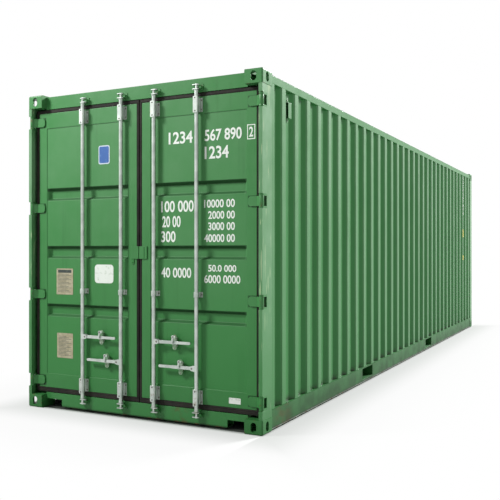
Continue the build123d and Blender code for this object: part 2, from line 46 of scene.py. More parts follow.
class Amount:
    """A number that changes over a surface, held as a node's socket, for use in sums."""

    def __init__(self, coat, socket):
        self.coat = coat
        self.socket = socket

    def out(self, name):
        """Another output of the same node."""
        return Amount(self.coat, self.socket.node.outputs[name])

    def work(self, operation, *others):
        """One Math node, on this number and the others."""
        return self.coat.add("ShaderNodeMath", {"operation": operation}, dict(enumerate((self, *others))))

    def __add__(self, other):
        return self.work("ADD", other)

    def __sub__(self, other):
        return self.work("SUBTRACT", other)

    def __rsub__(self, other):
        return self.work("MULTIPLY_ADD", -1.0, other)

    def __mul__(self, other):
        return self.work("MULTIPLY", other)

    def __abs__(self):
        return self.work("ABSOLUTE")

    __radd__ = __add__
    __rmul__ = __mul__

    def between(self, low, high):
        """A soft step from 0 at low to 1 at high."""
        settings = {"interpolation_type": "SMOOTHSTEP"}
        sockets = {"Value": self, "From Min": low, "From Max": high}
        return self.coat.add("ShaderNodeMapRange", settings, sockets)


class Nodes:
    """The nodes of a material or of the surroundings."""

    def __init__(self, holder):
        holder.use_nodes = True
        self.tree = holder.node_tree

    def fill(self, node, sockets):
        for key, value in sockets.items():
            if isinstance(value, Amount):
                self.tree.links.new(value.socket, node.inputs[key])
            else:
                node.inputs[key].default_value = value

    def add(self, kind, settings=None, sockets=None):
        """A node of any kind: its settings, then its sockets' values or links. Gives its first output."""
        node = self.tree.nodes.new(kind)
        for key, value in (settings or {}).items():
            setattr(node, key, value)
        self.fill(node, sockets or {})
        return Amount(self, node.outputs[0])


class Coat(Nodes):
    """The finish of one kind of surface: a material, its shader and the nodes that feed it."""

    def __init__(self, name):
        self.material = bpy.data.materials.new(name)
        super().__init__(self.material)
        self.shader = self.tree.nodes["Principled BSDF"]
        self.place = self.add("ShaderNodeTexCoord").out("Object")
        parts = self.add("ShaderNodeSeparateXYZ", {}, {"Vector": self.place})
        self.x, self.y, self.z = parts.out("X"), parts.out("Y"), parts.out("Z")

    def cloud(self, scale, detail=2.0, stretch=(1.0, 1.0, 1.0)):
        """Soft random patches around a half, drawn out where stretch is small."""
        place = self.add("ShaderNodeMapping", {}, {"Vector": self.place, "Scale": stretch})
        return self.add("ShaderNodeTexNoise", {}, {"Vector": place, "Scale": scale, "Detail": detail})

    def over(self, share, under, top):
        """One colour laid over another by a share."""
        mix = self.add("ShaderNodeMix", {"data_type": "RGBA"}, {0: share, 6: under, 7: top})
        return mix.out(2)

    def pour(self, colour, roughness, height=None, depth=0.0, **fixed):
        """Feed the shader: what changes over the surface, a relief, and values that stay the same."""
        self.fill(self.shader, {"Base Color": colour, "Roughness": roughness})
        if height is not None:
            relief = self.add("ShaderNodeBump", {}, {"Height": height, "Distance": depth})
            self.fill(self.shader, {"Normal": relief})
        self.fill(self.shader, {key.replace("_", " "): value for key, value in fixed.items()})
        return self


def tint(red, green, blue):
    """A colour as it looks on a screen, from 0 to 255, in the shader's own scale."""
    steps = [value / 255 for value in (red, green, blue)]
    return (*[s / 12.92 if s < 0.04045 else ((s + 0.055) / 1.055) ** 2.4 for s in steps], 1.0)


def enamel(name, bleach_and_sheen=0.5, runs=0.3, rust=0.2, grime=0.3, chips=None, marks=(), chalk=0.0):
    """Green enamel on steel: bleached patches that grow paler towards the top, partly real fading and partly
    painted sheen, rain runs, rust specks and road dirt close to the ground.

    Chips says where the steel is bare. Each of the marks is a way to find a share and a colour.
    Chalk is how much of its gloss the enamel has lost.
    """
    fresh_green, faded_and_sheen_green = tint(48, 120, 57), tint(108, 150, 111)
    run_green, dirty_green = tint(36, 84, 40), tint(24, 70, 28)
    dark_rust, light_rust = tint(58, 36, 24), tint(112, 76, 48)
    splash_high = 0.42
    gloss, relief_depth = 0.27, 0.0004
    coat = Coat(name)
    broad = coat.cloud(0.8, 3.0)
    mottle = coat.cloud(7.0, 4.0)
    fine = coat.cloud(260.0, 2.0)
    # Paler towards the top: partly real fading, partly painted sheen
    faded_and_sheen = (broad * 0.65 + mottle * 0.35).between(0.0, 1.0) * (coat.z.between(0.2, 2.6) + 0.3) * bleach_and_sheen
    colour = coat.over(faded_and_sheen, fresh_green, faded_and_sheen_green)
    wet = coat.cloud(13.0, 4.0, (1.0, 1.0, 0.06)).between(0.56, 0.80) * runs
    colour = coat.over(wet, colour, run_green)
    patches = coat.cloud(6.0, 4.0).between(0.30, 0.75) * 0.4 + 0.6
    low = coat.z.between(splash_high, 0.0) * patches * grime
    colour = coat.over(low, colour, dirty_green)
    for find, shade in marks:
        colour = coat.over(find(coat), colour, shade)
    bare = coat.cloud(46.0, 5.0).between(0.665, 0.71) * coat.cloud(1.9, 2.0).between(0.50, 0.66) * rust
    if chips is not None:
        bare = bare.work("MAXIMUM", chips(coat))
    brown = coat.over(coat.cloud(85.0, 3.0), dark_rust, light_rust)
    colour = coat.over(bare, colour, brown)
    rough = mottle * 0.12 + low * 0.3 + bare * 0.35 + (gloss + chalk)
    relief = fine * 0.3 + mottle * 0.3 - bare * 0.5
    return coat.pour(colour, rough, relief, relief_depth, Specular_IOR_Level=0.28)


# Outer faces of the box and inner faces of its castings, from the middle and from the ground
outer_x, outer_y, outer_top = 1.219, 4.5625, 2.896
casting_x, casting_y, casting_top = 1.057, 4.3845, 0.118


def casting_chips(coat):
    """Chipped paint near the edges of the eight blocks, whose faces lie at known places."""
    across = abs(coat.x)
    along = abs(coat.y)
    up = coat.z.work("MINIMUM", outer_top - coat.z)
    reach = [
        abs(across - casting_x).work("MINIMUM", abs(outer_x - across)),
        abs(along - casting_y).work("MINIMUM", abs(outer_y - along)),
        abs(up).work("MINIMUM", abs(casting_top - up)),
    ]
    least = reach[0].work("MINIMUM", reach[1]).work("MINIMUM", reach[2])
    most = reach[0].work("MAXIMUM", reach[1]).work("MAXIMUM", reach[2])
    edge = reach[0] + reach[1] + reach[2] - least - most
    chipped_wide = 0.009
    return edge.between(chipped_wide, 0.0) * coat.cloud(30.0, 5.0).between(0.56, 0.66) * 0.8


def finish(node, coat, edge=0.0):
    """Give a node of the frame its coat, and break its sharp edges by so many metres."""
    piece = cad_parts[node]
    for held in piece.material_slots:
        held.material = coat.material
    if edge:
        joined = piece.modifiers.new("joined", "WELD")
        joined.merge_threshold = 0.00001
        broken = piece.modifiers.new("broken edge", "BEVEL")
        broken.width = edge
        broken.segments = 2
        broken.limit_method = "ANGLE"
        broken.angle_limit = math.radians(50)
        broken.harden_normals = True


finish("corner_castings", enamel("casting green", 0.5, 0.2, 0.3, 0.5, casting_chips))


# Door posts and blind end posts. Folded steel sections between upper and lower castings, welded all
# round to both. The door posts' sides are the first thing that a truck's mirror or a fork scrapes, so
# fine pale scratches run down them.

def scratches(coat):
    """Short pale scratches, most of them nearly upright, in a few places."""
    lines = coat.cloud(90.0, 1.0, (1.0, 1.0, 0.05)).between(0.64, 0.69)
    return lines * coat.cloud(3.4, 3.0).between(0.46, 0.56) * 0.8


# The posts' large bleach share paints sheen on their upper parts, over some real fading.
post_green = enamel("post green", 1.6, 0.2, 0.3, 0.4, marks=((scratches, tint(172, 192, 150)),))
for post in ("door_posts", "blind_posts"):
    finish(post, post_green, 0.002)


def build(name, points, faces, coat, body, smooth=True):
    """A piece from its corners and faces, with its coat, on its body."""
    mesh = bpy.data.meshes.new(name)
    mesh.from_pydata(points, [], faces)
    shell = bmesh.new()
    shell.from_mesh(mesh)
    bmesh.ops.recalc_face_normals(shell, faces=shell.faces)
    shell.to_mesh(mesh)
    shell.free()
    mesh.materials.append(coat.material)
    for face in mesh.polygons:
        face.use_smooth = smooth
    piece = bpy.data.objects.new(name, mesh)
    bpy.context.scene.collection.objects.link(piece)
    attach(piece, body)
    return piece


def weld_beads(name, runs, radius, coat, body):
    """Rippled weld beads: each run goes from one point to another, and leans on what it joins."""
    ripple, around = 0.011, 6
    chance = random.Random(name)
    points, faces = [], []
    for start, end in runs:
        start, end = Vector(start), Vector(end)
        length = (end - start).length
        ahead = (end - start) / length
        side = ahead.orthogonal().normalized()
        up = ahead.cross(side)
        count = max(2, int(length / ripple))
        first = len(points)
        for k in range(count + 1):
            thick = radius * (0.82 + 0.25 * abs(math.sin(k * 1.6)) + 0.12 * chance.random())
            thick *= 0.3 if k in (0, count) else 1.0
            middle = start + ahead * length * k / count
            for turn in range(around):
                angle = math.tau * turn / around
                points.append(middle + (side * math.cos(angle) + up * math.sin(angle)) * thick)
        for k in range(count):
            for turn in range(around):
                a = first + k * around + turn
                b = first + k * around + (turn + 1) % around
                faces.append((a, b, b + around, a + around))
    return build(name, points, faces, coat, body)


post_side_x, post_end_y = 1.2154, 4.5589
weld_near, weld_far = 4.389, 4.558
door_strip_x, blind_strip_x, post_corner_x = 1.184, 1.062, 1.214
post_bead = 0.0018
post_welds = []
for side in (-1, 1):
    for level in (0.118, 2.778):
        flank, corner_x = side * post_side_x, side * post_corner_x
        post_welds.append(((flank, -weld_far, level), (flank, -weld_near, level)))
        post_welds.append(((side * door_strip_x, -post_end_y, level), (corner_x, -post_end_y, level)))
        post_welds.append(((flank, weld_near, level), (flank, weld_far, level)))
        post_welds.append(((side * blind_strip_x, post_end_y, level), (corner_x, post_end_y, level)))
bead_green = enamel("weld bead green", 0.2, 0.25, 0.25, 0.9, chalk=0.5)
weld_beads("post_welds", post_welds, post_bead, bead_green, "container")


# Door header, door sill, blind end rails and side rails. Folded plates and square tube that join the
# castings, welded in. The lower ones are scraped by ground, chassis and forks: their bottom edges have
# lost paint, and road dirt clings to them.

def low_edge_rust(coat):
    """Rust that creeps up from the lower edge of a rail in tongues, and two scraped places."""
    post_scrape_y, sill_scrape_x = -4.16, 0.42
    edge = coat.z.between(0.026, 0.012) * coat.cloud(19.0, 5.0).between(0.50, 0.64)
    at_post = abs(coat.y - post_scrape_y).between(0.24, 0.02) * (coat.x - 1.2).between(0.0, 0.01)
    at_middle = abs(coat.x - sill_scrape_x).between(0.10, 0.03) * (coat.y + 4.3).between(0.0, -0.01)
    scraped = (at_post * 0.7 + at_middle) * coat.cloud(22.0, 4.0, (1.0, 0.5, 0.7)).between(0.36, 0.66)
    return edge.work("MAXIMUM", scraped * 0.75) * 0.8


def lip_painted_shade(coat):
    """Painted shade in the corner just above the lower lip."""
    return coat.z.between(0.034, 0.020) * coat.z.between(0.0155, 0.0175) * 0.85


def sill_shade(coat):
    """Painted shade along the lowest edge of the end sills."""
    return coat.z.between(0.030, 0.016) * 0.75


# The lower rails' dark mark is painted shade above their lip.
low_green = enamel("lower rail green", 0.1, 0.25, 0.25, 1.2, low_edge_rust, ((lip_painted_shade, tint(20, 30, 20)),))
# The sills' dark mark is painted shade along their lowest edge.
sill_green = enamel("sill green", 0.5, 0.25, 0.25, 0.0, low_edge_rust, ((sill_shade, tint(14, 34, 16)),))
top_green = enamel("upper rail green", 0.25, 0.25, 0.2, 0.0)
finish("bottom_side_rails", low_green, 0.002)
for rail in ("door_sill", "blind_sill"):
    finish(rail, sill_green, 0.002)
for rail in ("door_header", "blind_top_rail", "top_side_rails"):
    finish(rail, top_green, 0.002)

low_weld_x, low_weld_z = 1.2135, 0.1735
high_weld_x, high_weld_z = 1.2115, 2.807
rail_end_y = 4.384
joint_y, joint_low, joint_high = 4.3835, 0.016, 0.117
rail_bead = 0.0022
rail_welds = []
for side in (-1, 1):
    low_x, high_x = side * low_weld_x, side * high_weld_x
    rail_welds.append(((low_x, -rail_end_y, low_weld_z), (low_x, rail_end_y, low_weld_z)))
    rail_welds.append(((high_x, -rail_end_y, high_weld_z), (high_x, rail_end_y, high_weld_z)))
    for end in (-1, 1):
        rail_welds.append(((low_x, end * joint_y, joint_low), (low_x, end * joint_y, joint_high)))
weld_beads("rail_welds", rail_welds, rail_bead, bead_green, "container")


# Cross members, fork pockets and floor. Steel channels between the lower rails carry boards of
# plywood that are screwed down through their tops. The steel is painted and dusty, the boards are
# oiled brown, scuffed along their length by pallets and forks.

under_green = enamel("underside green", 0.3, 0.2, 0.5, 0.8)
for beam in ("cross_members", "fork_pockets"):
    finish(beam, under_green)

boards = Coat("oiled plywood")
half_board_wide, half_board_long, half_gap = 0.58, 1.2, 0.004
grain = boards.cloud(34.0, 6.0, (1.0, 0.04, 1.0))
scuffs = boards.cloud(60.0, 3.0, (1.0, 0.03, 1.0)).between(0.60, 0.72)
scuffs = scuffs * boards.cloud(1.4, 3.0).between(0.42, 0.62)
seam_across = abs(boards.x.work("PINGPONG", half_board_wide)).between(0.0, half_gap)
seam_along = abs(boards.y.work("PINGPONG", half_board_long)).between(0.0, half_gap)
seams = seam_across * seam_along
wood = boards.over(grain.between(0.35, 0.65), tint(96, 60, 34), tint(140, 96, 58))
wood = boards.over(scuffs * 0.7, wood, tint(176, 150, 118))
wood = boards.over(1.0 - seams, wood, tint(30, 20, 14))
boards.pour(wood, 0.62 + scuffs * 0.2, grain * 0.4 + seams, 0.0012)
finish("floor_boards", boards)


def studs(name, places, facing, radius, rise, sides, coat, body):
    """Bolt heads where sides is 6, rivet or screw heads where it is more, all facing one way."""
    facing = Vector(facing)
    across = facing.orthogonal().normalized()
    up = facing.cross(across)
    rings = ((1.0, 0.0), (1.0, 0.62), (0.8, 0.95), (0.45, 1.0)) if sides == 6 else (
        (1.0, 0.0), (0.93, 0.4), (0.7, 0.78), (0.35, 0.97))
    points, faces = [], []
    for place in places:
        first = len(points)
        for wide, high in rings:
            for turn in range(sides):
                angle = math.tau * turn / sides
                spoke = across * math.cos(angle) + up * math.sin(angle)
                points.append(Vector(place) + spoke * radius * wide + facing * rise * high)
        for ring in range(len(rings) - 1):
            for turn in range(sides):
                a = first + ring * sides + turn
                b = first + ring * sides + (turn + 1) % sides
                faces.append((a, b, b + sides, a + sides))
        top = first + (len(rings) - 1) * sides
        faces.append(tuple(range(top, top + sides)))
    return build(name, points, faces, coat, body, smooth=sides > 6)


steel = Coat("dull screw steel")
tarnish = steel.cloud(70.0, 4.0)
steel.pour(steel.over(tarnish, tint(92, 88, 82), tint(148, 146, 140)), 0.38 + tarnish * 0.3, Metallic=0.9)
floor_top, first_beam_y, beam_pitch, beams = 0.1915, -4.2, 0.3, 29
screw_radius, screw_rise = 0.0065, 0.0007
screws = [
    (x + shift, first_beam_y + k * beam_pitch, floor_top)
    for k in range(beams) for x in (-0.87, -0.29, 0.29, 0.87) for shift in (-0.25, 0.25)
]
studs(
    "floor_screws", screws, (0, 0, 1), screw_radius, screw_rise, 10,
    steel, "container")


# Side walls and blind end wall. Steel sheet two millimetres thick, pressed into upright ribs whose
# bends are rounded, and welded along its edges to rails and posts. Pressing and welding leave it
# slightly wavy, which shows where light grazes it.

def bent_line(corners, radius, steps=3):
    """A line through corners in which each corner is rounded off by a bend."""
    line = [corners[0]]
    for before, corner, after in zip(corners, corners[1:], corners[2:]):
        a, b, c = Vector(before), Vector(corner), Vector(after)
        back, ahead = (a - b).normalized(), (c - b).normalized()
        half = math.acos(max(-1.0, min(1.0, back.dot(ahead)))) / 2
        reach = radius / math.tan(half)
        centre = b + (back + ahead).normalized() * radius / math.sin(half)
        start = b + back * reach - centre
        swing = start.angle_signed(b + ahead * reach - centre)
        for k in range(steps + 1):
            angle = -swing * k / steps
            turned = Vector((
                start.x * math.cos(angle) - start.y * math.sin(angle),
                start.x * math.sin(angle) + start.y * math.cos(angle),
            ))
            line.append(tuple(centre + turned))
    line.append(corners[-1])
    return line


def ribs(start, end, places, slope, deep):
    """Corners of a sheet's cross section: flat at 0, down to deep in each rib."""
    corners = [(start, 0.0)]
    for place, flat in places:
        foot, head = place + slope + flat, place + 2 * slope + flat
        corners += [(place, 0.0), (place + slope, deep), (foot, deep), (head, 0.0)]
    return corners + [(end, 0.0)]


def pressed_sheet(name, section, stations, spot, thick, wave, coat, body):
    """A sheet that has a section along one way and, at each station across it, a share of the ribs' depth.

    spot turns a place along the section, a station and a depth into a point of the container.
    """
    points, faces = [], []
    wide = len(stations)
    for skin in (0.0, thick):
        for along, depth in section:
            for station, share in stations:
                sway = noise.noise(Vector((along * 3.1, station * 2.3, 7.7))) * wave
                points.append(spot(along, station, depth * share + skin + sway))
    rows = len(section)
    for skin in (0, 1):
        for i in range(rows - 1):
            for j in range(wide - 1):
                a = (skin * rows + i) * wide + j
                faces.append((a, a + 1, a + wide + 1, a + wide))
    back = rows * wide
    for i in range(rows - 1):
        for a in (i * wide, i * wide + wide - 1):
            faces.append((a, a + wide, a + wide + back, a + back))
    for j in range(wide - 1):
        for a in (j, (rows - 1) * wide + j):
            faces.append((a, a + back, a + back + 1, a + 1))
    piece = build(name, points, faces, coat, body)
    even = piece.modifiers.new("even shading", "WEIGHTED_NORMAL")
    even.keep_sharp = False
    return piece


def valley_dirt(coat):
    """Dirt and rust on the rail at the foot of each rib's valley."""
    foot = coat.z.between(0.24, 0.175) * (1.2105 - abs(coat.x)).between(0.0, 0.012)
    return foot * coat.cloud(12.0, 4.0).between(0.25, 0.6) * 0.8


def valley(coat):
    """Slopes and valleys painted a deeper, unbleached green than the proud faces: painted shade in the
    recesses.
    """
    return (1.2125 - abs(coat.x)).between(0.001, 0.014) * 0.85


# The first wall mark is painted shade in the slopes and valleys, the second real dirt at their foot.
wall_marks = ((valley, tint(40, 120, 52)), (valley_dirt, tint(34, 44, 22)))
wall_green = enamel("wall green", 0.9, 0.25, 0.12, 0.2, marks=wall_marks)
end_green = enamel("blind end green", 0.7, 0.25, 0.12, 0.2)
wall_face_x, wall_low, wall_tall, wall_steps = 1.2128, 0.1725, 2.6355, 18
wall_pitch, wall_slope, wall_valley, wall_deep, wall_bend = 0.271, 0.066, 0.069, 0.034, 0.012
skin_thick, wall_wave = 0.0018, 0.0008
wall_places = [(-4.3305, 0.023)] + [(-4.1055 + wall_pitch * k, wall_valley) for k in range(31)]
wall_corners = ribs(-casting_y, casting_y, wall_places, wall_slope, wall_deep)
# A narrow valley next to the blind end's post takes up what is left of the length
wall_corners[-1:] = [(4.300, 0.0), (4.345, wall_deep), (4.366, wall_deep), (casting_y, 0.0)]
wall_section = bent_line(wall_corners, wall_bend)
wall_rows = [(wall_low + wall_tall * k / wall_steps, 1.0) for k in range(wall_steps + 1)]
for side, wall in ((-1, "left_side_wall"), (1, "right_side_wall")):
    panel = pressed_sheet(
        wall + "_sheet", wall_section, wall_rows,
        lambda along, high, depth, side=side: (side * (wall_face_x - depth), along, high),
        skin_thick, wall_wave, wall_green, "container")
    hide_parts(wall)

end_face_y, end_half_wide, end_tall, end_steps = 4.5533, 1.077, 2.6055, 12
end_pitch, end_slope, end_valley, end_deep = 0.25, 0.018, 0.104, 0.043
end_bend, end_wave = 0.008, 0.0006
end_places = [(-1.07 + end_pitch * k, end_valley) for k in range(8)]
end_section = bent_line(ribs(-end_half_wide, end_half_wide, end_places, end_slope, end_deep), end_bend)
end_rows = [(wall_low + end_tall * k / end_steps, 1.0) for k in range(end_steps + 1)]
end_panel = pressed_sheet(
    "blind_end_sheet", end_section, end_rows,
    lambda along, high, depth: (along, end_face_y - depth, high),
    skin_thick, end_wave, end_green, "container")
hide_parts("blind_end_wall")


# Roof. Sheets welded into one skin, with shallow ridges pressed across it that run out before the
# rails. Rain stands between the ridges, so dust and rust gather there, and the sun has bleached the
# tops.

roof_green = enamel("roof green", 0.85, 0.0, 0.35, 0.0, chalk=0.4)
roof_flat_z, roof_thick, roof_wave = 2.8682, 0.0016, 0.0006
roof_pitch, roof_slope, roof_ridge, roof_rise, roof_bend = 0.209, 0.014, 0.091, 0.0195, 0.006
roof_places = [(-4.3245 + roof_pitch * k, roof_ridge) for k in range(41)]
roof_section = bent_line(ribs(-casting_y, casting_y, roof_places, roof_slope, -roof_rise), roof_bend, 2)
run_out = [(-1.2125, 0.0), (-1.14, 0.0), (-1.132, 0.12), (-1.12, 0.55), (-1.108, 0.9), (-1.1, 1.0)]
roof_stations = run_out + [(-1.0 + 0.2 * k, 1.0) for k in range(11)]
roof_stations += [(-x, share) for x, share in reversed(run_out)]
roof_sheet = pressed_sheet(
    "roof_sheet", roof_section, roof_stations,
    lambda along, across, depth: (across, along, roof_flat_z - depth),
    -roof_thick, roof_wave, roof_green, "container")
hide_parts("roof")


# Ventilators. Pressed hoods over a few holes high in each long side, open towards the doors and
# screwed to the valley of a rib through a foot above and below.

vent_green = enamel("hood green", 0.7, 0.3, 0.2, 0.0)
finish("ventilators", vent_green, 0.0015)
foot_x, foot_y = 1.182, -4.0045
for side in (-1, 1):
    name = "left_hood_screws" if side < 0 else "right_hood_screws"
    feet = [(side * foot_x, foot_y, high) for high in (2.563, 2.735)]
    studs(name, feet, (side, 0, 0), 0.006, 0.003, 12, steel, "container")


# Door frames and panels. Each leaf is a frame of square steel tube with a sheet welded into it, which
# three level ribs stiffen. The doors see the most handling, so rain runs and small scratches show on
# them more than elsewhere.

def blade_painted_shade(coat):
    """Painted shade round each hinge blade, darkest close to it."""
    lowest, half_spacing, half_high, blade_end_x = 0.25, 0.399665, 0.04, 1.065
    above = (coat.z - lowest).work("PINGPONG", half_spacing) - half_high
    return above.work("MAXIMUM", blade_end_x - abs(coat.x)).between(0.011, 0.001) * 0.75


def bend_shade_and_seam(coat):
    """Painted shade in the bends of the level ribs, darker under the upper ones, and a dark line along the
    upper weld.
    """
    half_spacing, upper_bend, lower_bend, upper_weld = 0.26775, 0.9485, 0.8565, 2.590
    panel = coat.z.between(0.8, 0.82) * coat.z.between(2.06, 2.04)
    upper = (coat.z - upper_bend).work("PINGPONG", half_spacing).between(0.018, 0.010)
    lower = (coat.z - lower_bend).work("PINGPONG", half_spacing).between(0.015, 0.008)
    seam = abs(coat.z - upper_weld).between(0.008, 0.002)
    return (upper * 0.85 + lower * 0.5) * panel + seam * 0.6


# Dark green for painted shade round the hinge blades and in the rib bends, also used for the weld line.
painted_shade_green = tint(8, 50, 16)
door_green = enamel("door green", 0.4, 0.25, 0.1, 0.2, marks=((blade_painted_shade, painted_shade_green),))
sheet_green = enamel("door sheet green", 0.4, 0.25, 0.1, 0.2, marks=((bend_shade_and_seam, painted_shade_green),), chalk=0.2)
sheet_low, sheet_high, sheet_wide, sheet_face_y = 0.313, 2.592, 0.931, -4.4963
half_mouth, half_floor, rib_deep, rib_bend = 0.056, 0.036, 0.034, 0.009
longest_part = 0.09
panel_corners = [(sheet_low, 0.0)]
for level in (0.9025, 1.438, 1.9735):
    panel_corners += [(level - half_mouth, 0.0), (level - half_floor, rib_deep)]
    panel_corners += [(level + half_floor, rib_deep), (level + half_mouth, 0.0)]
panel_corners.append((sheet_high, 0.0))
panel_bends = bent_line(panel_corners, rib_bend, 4)
panel_section = []
for here, there in zip(panel_bends, panel_bends[1:]):
    parts = max(1, round((there[0] - here[0]) / longest_part))
    panel_section += [tuple(Vector(here).lerp(Vector(there), k / parts)) for k in range(parts)]
panel_section.append(panel_bends[-1])
panel_stations = [(0.0, 0.0), (0.006, 0.0), (0.013, 0.25), (0.022, 0.8), (0.03, 1.0)]
panel_stations += [(0.03 + 0.0871 * k, 1.0) for k in range(1, 10)]
panel_stations += [(sheet_wide - x, share) for x, share in reversed(panel_stations[:5])]
sheet_near_x, sheet_thick, sheet_wave = 0.117, 0.0016, 0.0009
seam_y, seam_low, seam_high, seam_near, seam_far, seam_bead = -4.4965, 0.3135, 2.5915, 0.1175, 1.0475, 0.002
for side, leaf in ((-1, "left_door"), (1, "right_door")):
    finish(leaf + "_frame", door_green, 0.003)
    sheet = pressed_sheet(
        leaf + "_sheet", panel_section, panel_stations,
        lambda high, across, depth, side=side: (side * (sheet_near_x + across), sheet_face_y + depth, high),
        sheet_thick, sheet_wave, sheet_green, leaf)
    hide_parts(leaf + "_panel")
    near, far = side * seam_near, side * seam_far
    round_trip = [(near, seam_low), (far, seam_low), (far, seam_high), (near, seam_high), (near, seam_low)]
    stops = [(x, seam_y, z) for x, z in round_trip]
    weld_beads(leaf + "_welds", list(zip(stops, stops[1:])), seam_bead, door_green, leaf)


# Door seals. Black rubber sections clamped round the edge of each leaf, which close the gap to the
# frame. Their outer lips bulge a little, have gone grey with age and hold dust.

rubber = Coat("weathered rubber")
bloom = rubber.cloud(9.0, 5.0)
dusty = rubber.cloud(40.0, 4.0).between(0.45, 0.7)
black = rubber.over(bloom.between(0.35, 0.7), tint(22, 21, 17), tint(40, 38, 32))
black = rubber.over(dusty * 0.15, black, tint(76, 72, 62))
rubber.pour(black, 0.7 + dusty * 0.2, bloom * 0.5 + dusty * 0.3, 0.0008, Specular_IOR_Level=0.25)


def rubber_lip(name, corners, thick, body):
    """A round lip along a closed line of corners."""
    curve = bpy.data.curves.new(name, "CURVE")
    curve.dimensions = "3D"
    curve.bevel_depth = thick
    curve.bevel_resolution = 3
    line = curve.splines.new("POLY")
    line.points.add(len(corners) - 1)
    for point, corner in zip(line.points, corners):
        point.co = (*corner, 1.0)
    line.use_cyclic_u = True
    curve.materials.append(rubber.material)
    lip = bpy.data.objects.new(name, curve)
    bpy.context.scene.collection.objects.link(lip)
    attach(lip, body)
    return lip


leaf_near, leaf_far, leaf_low, leaf_high = 0.027, 1.138, 0.183, 2.732
most_inward = 0.015
for side, leaf in ((-1, "left_door"), (1, "right_door")):
    finish(leaf + "_seal", rubber, 0.003)
    for number, out, depth, thick in ((1, 0.009, -4.4975, 0.0045), (2, 0.026, -4.4970, 0.003)):
        near, far = side * (leaf_near - min(out, most_inward)), side * (leaf_far + out)
        low, high = leaf_low - out, leaf_high + out
        ring = [(near, depth, low), (far, depth, low), (far, depth, high), (near, depth, high)]
        rubber_lip(f"{leaf}_seal_lip_{number}", ring, thick, leaf)


# Hinges. Lugs welded into notches of the posts hold steel pins, and the blades on the leaves end in
# knuckles that turn on them. Paint is rubbed off where knuckle and lug meet, and a little rust runs
# down from there.

pin_x, pin_y = 1.196, -4.5345


def knuckle_rub(coat):
    """Bare and rusty steel close to the line of the pins."""
    from_pin = abs(abs(coat.x) - pin_x).between(0.024, 0.008) * (coat.y - pin_y).between(0.020, -0.004)
    return from_pin * coat.cloud(34.0, 5.0).between(0.56, 0.68) * 0.7


hinge_green = enamel("hinge green", 0.5, 0.3, 0.2, 0.3, knuckle_rub)
finish("hinge_lugs", hinge_green, 0.0015)
hinge_levels = [0.25 + 0.79933 * k for k in range(4)]
head_lift, head_radius, head_rise = 0.059, 0.0165, 0.006
for side, leaf in ((-1, "left_door"), (1, "right_door")):
    finish(leaf + "_hinges", hinge_green, 0.0025)
    caps = [(side * pin_x, pin_y, level + head_lift) for level in hinge_levels]
    studs(
        leaf + "_pin_heads", caps, (0, 0, 1), head_radius, head_rise, 12,
        hinge_green, "container")


# Cover plates in the middle. Two bent plates over the gap between the leaves, one welded to each, with
# a small eye under the left one for a seal wire.

for side, leaf in ((-1, "left_door"), (1, "right_door")):
    finish(leaf + "_centre_plate", door_green, 0.0025)


def flat_piece(name, outline, front, back, coat, body, edge=0.0, hole=None):
    """A plate cut to an outline of (x, z) corners between two depths, with a round hole if it has one."""
    shape = bpy.data.curves.new(name, "CURVE")
    shape.dimensions = "2D"
    shape.fill_mode = "BOTH"
    shape.extrude = (back - front) / 2 - edge
    shape.bevel_depth = edge
    shape.bevel_resolution = 1
    rings = [outline]
    if hole:
        x, z, radius = hole
        turns = [k / 12 * math.tau for k in range(12)]
        rings.append([(x + radius * math.cos(turn), z + radius * math.sin(turn)) for turn in turns])
    for ring in rings:
        line = shape.splines.new("POLY")
        line.points.add(len(ring) - 1)
        for point, (x, z) in zip(line.points, ring):
            point.co = (x, z, 0.0, 1.0)
        line.use_cyclic_u = True
    shape.materials.append(coat.material)
    piece = bpy.data.objects.new(name, shape)
    piece.rotation_euler = (math.pi / 2, 0, 0)
    piece.location = (0, (front + back) / 2, 0)
    bpy.context.scene.collection.objects.link(piece)
    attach(piece, body)
    return piece


def rounded(left, right, low, high, radius, steps=4):
    """Corners of a rectangle with rounded corners."""
    line = []
    for x, z, turn in ((right, high, 0), (left, high, 1), (left, low, 2), (right, low, 3)):
        inner_x = x - math.copysign(radius, x - (left + right) / 2)
        inner_z = z - math.copysign(radius, z - (low + high) / 2)
        for k in range(steps + 1):
            angle = (turn + k / steps) * math.pi / 2
            line.append((inner_x + radius * math.cos(angle), inner_z + radius * math.sin(angle)))
    return line


flat_piece(
    "seal_wire_eye", rounded(-0.076, -0.052, 1.338, 1.384, 0.011), -4.5065, -4.5005,
    door_green, "left_door", 0.001, (-0.064, 1.350, 0.0055))
flat_piece(
    "cover_plate_fold", rounded(0.052, 0.058, 1.387, 1.489, 0.002), -4.5130, -4.5100,
    door_green, "right_door", 0.001)


# Cam keepers, lock rods and brackets. Galvanised tube with forged cams welded to both ends, turning in
# sleeves that are bolted to the leaves. The zinc has dulled to a mottled grey and is rubbed bright at
# the sleeves; the keepers on header and sill are painted over, and the cams have worn them bare.

zinc = Coat("dull zinc")
spangle = zinc.cloud(11.0, 4.0)
grey = zinc.over(spangle.between(0.35, 0.65), tint(176, 185, 178), tint(198, 206, 199))
stain = zinc.cloud(12.0, 6.0, (1.0, 1.0, 0.3)).between(0.66, 0.76) * 0.25
low_stain = zinc.z.between(0.3, 0.08) * zinc.cloud(24.0, 5.0).between(0.54, 0.70) * 0.5
spots = stain.work("MAXIMUM", low_stain)
grey = zinc.over(spots, grey, tint(134, 116, 92))
zinc.pour(grey, 0.3 + spots * 0.3 + spangle * 0.08, spangle * 0.2 - spots * 0.3, 0.0003, Metallic=0.65)

rivet_steel = Coat("blackened rivet steel")
scale = rivet_steel.cloud(60.0, 4.0)
blackened = rivet_steel.over(scale, tint(44, 42, 38), tint(88, 82, 72))
rivet_steel.pour(blackened, 0.55 + scale * 0.2, Metallic=0.5)


def cam_wear(coat):
    """Bare metal where the cams rub the keepers."""
    return coat.cloud(40.0, 4.0).between(0.60, 0.70) * 0.6


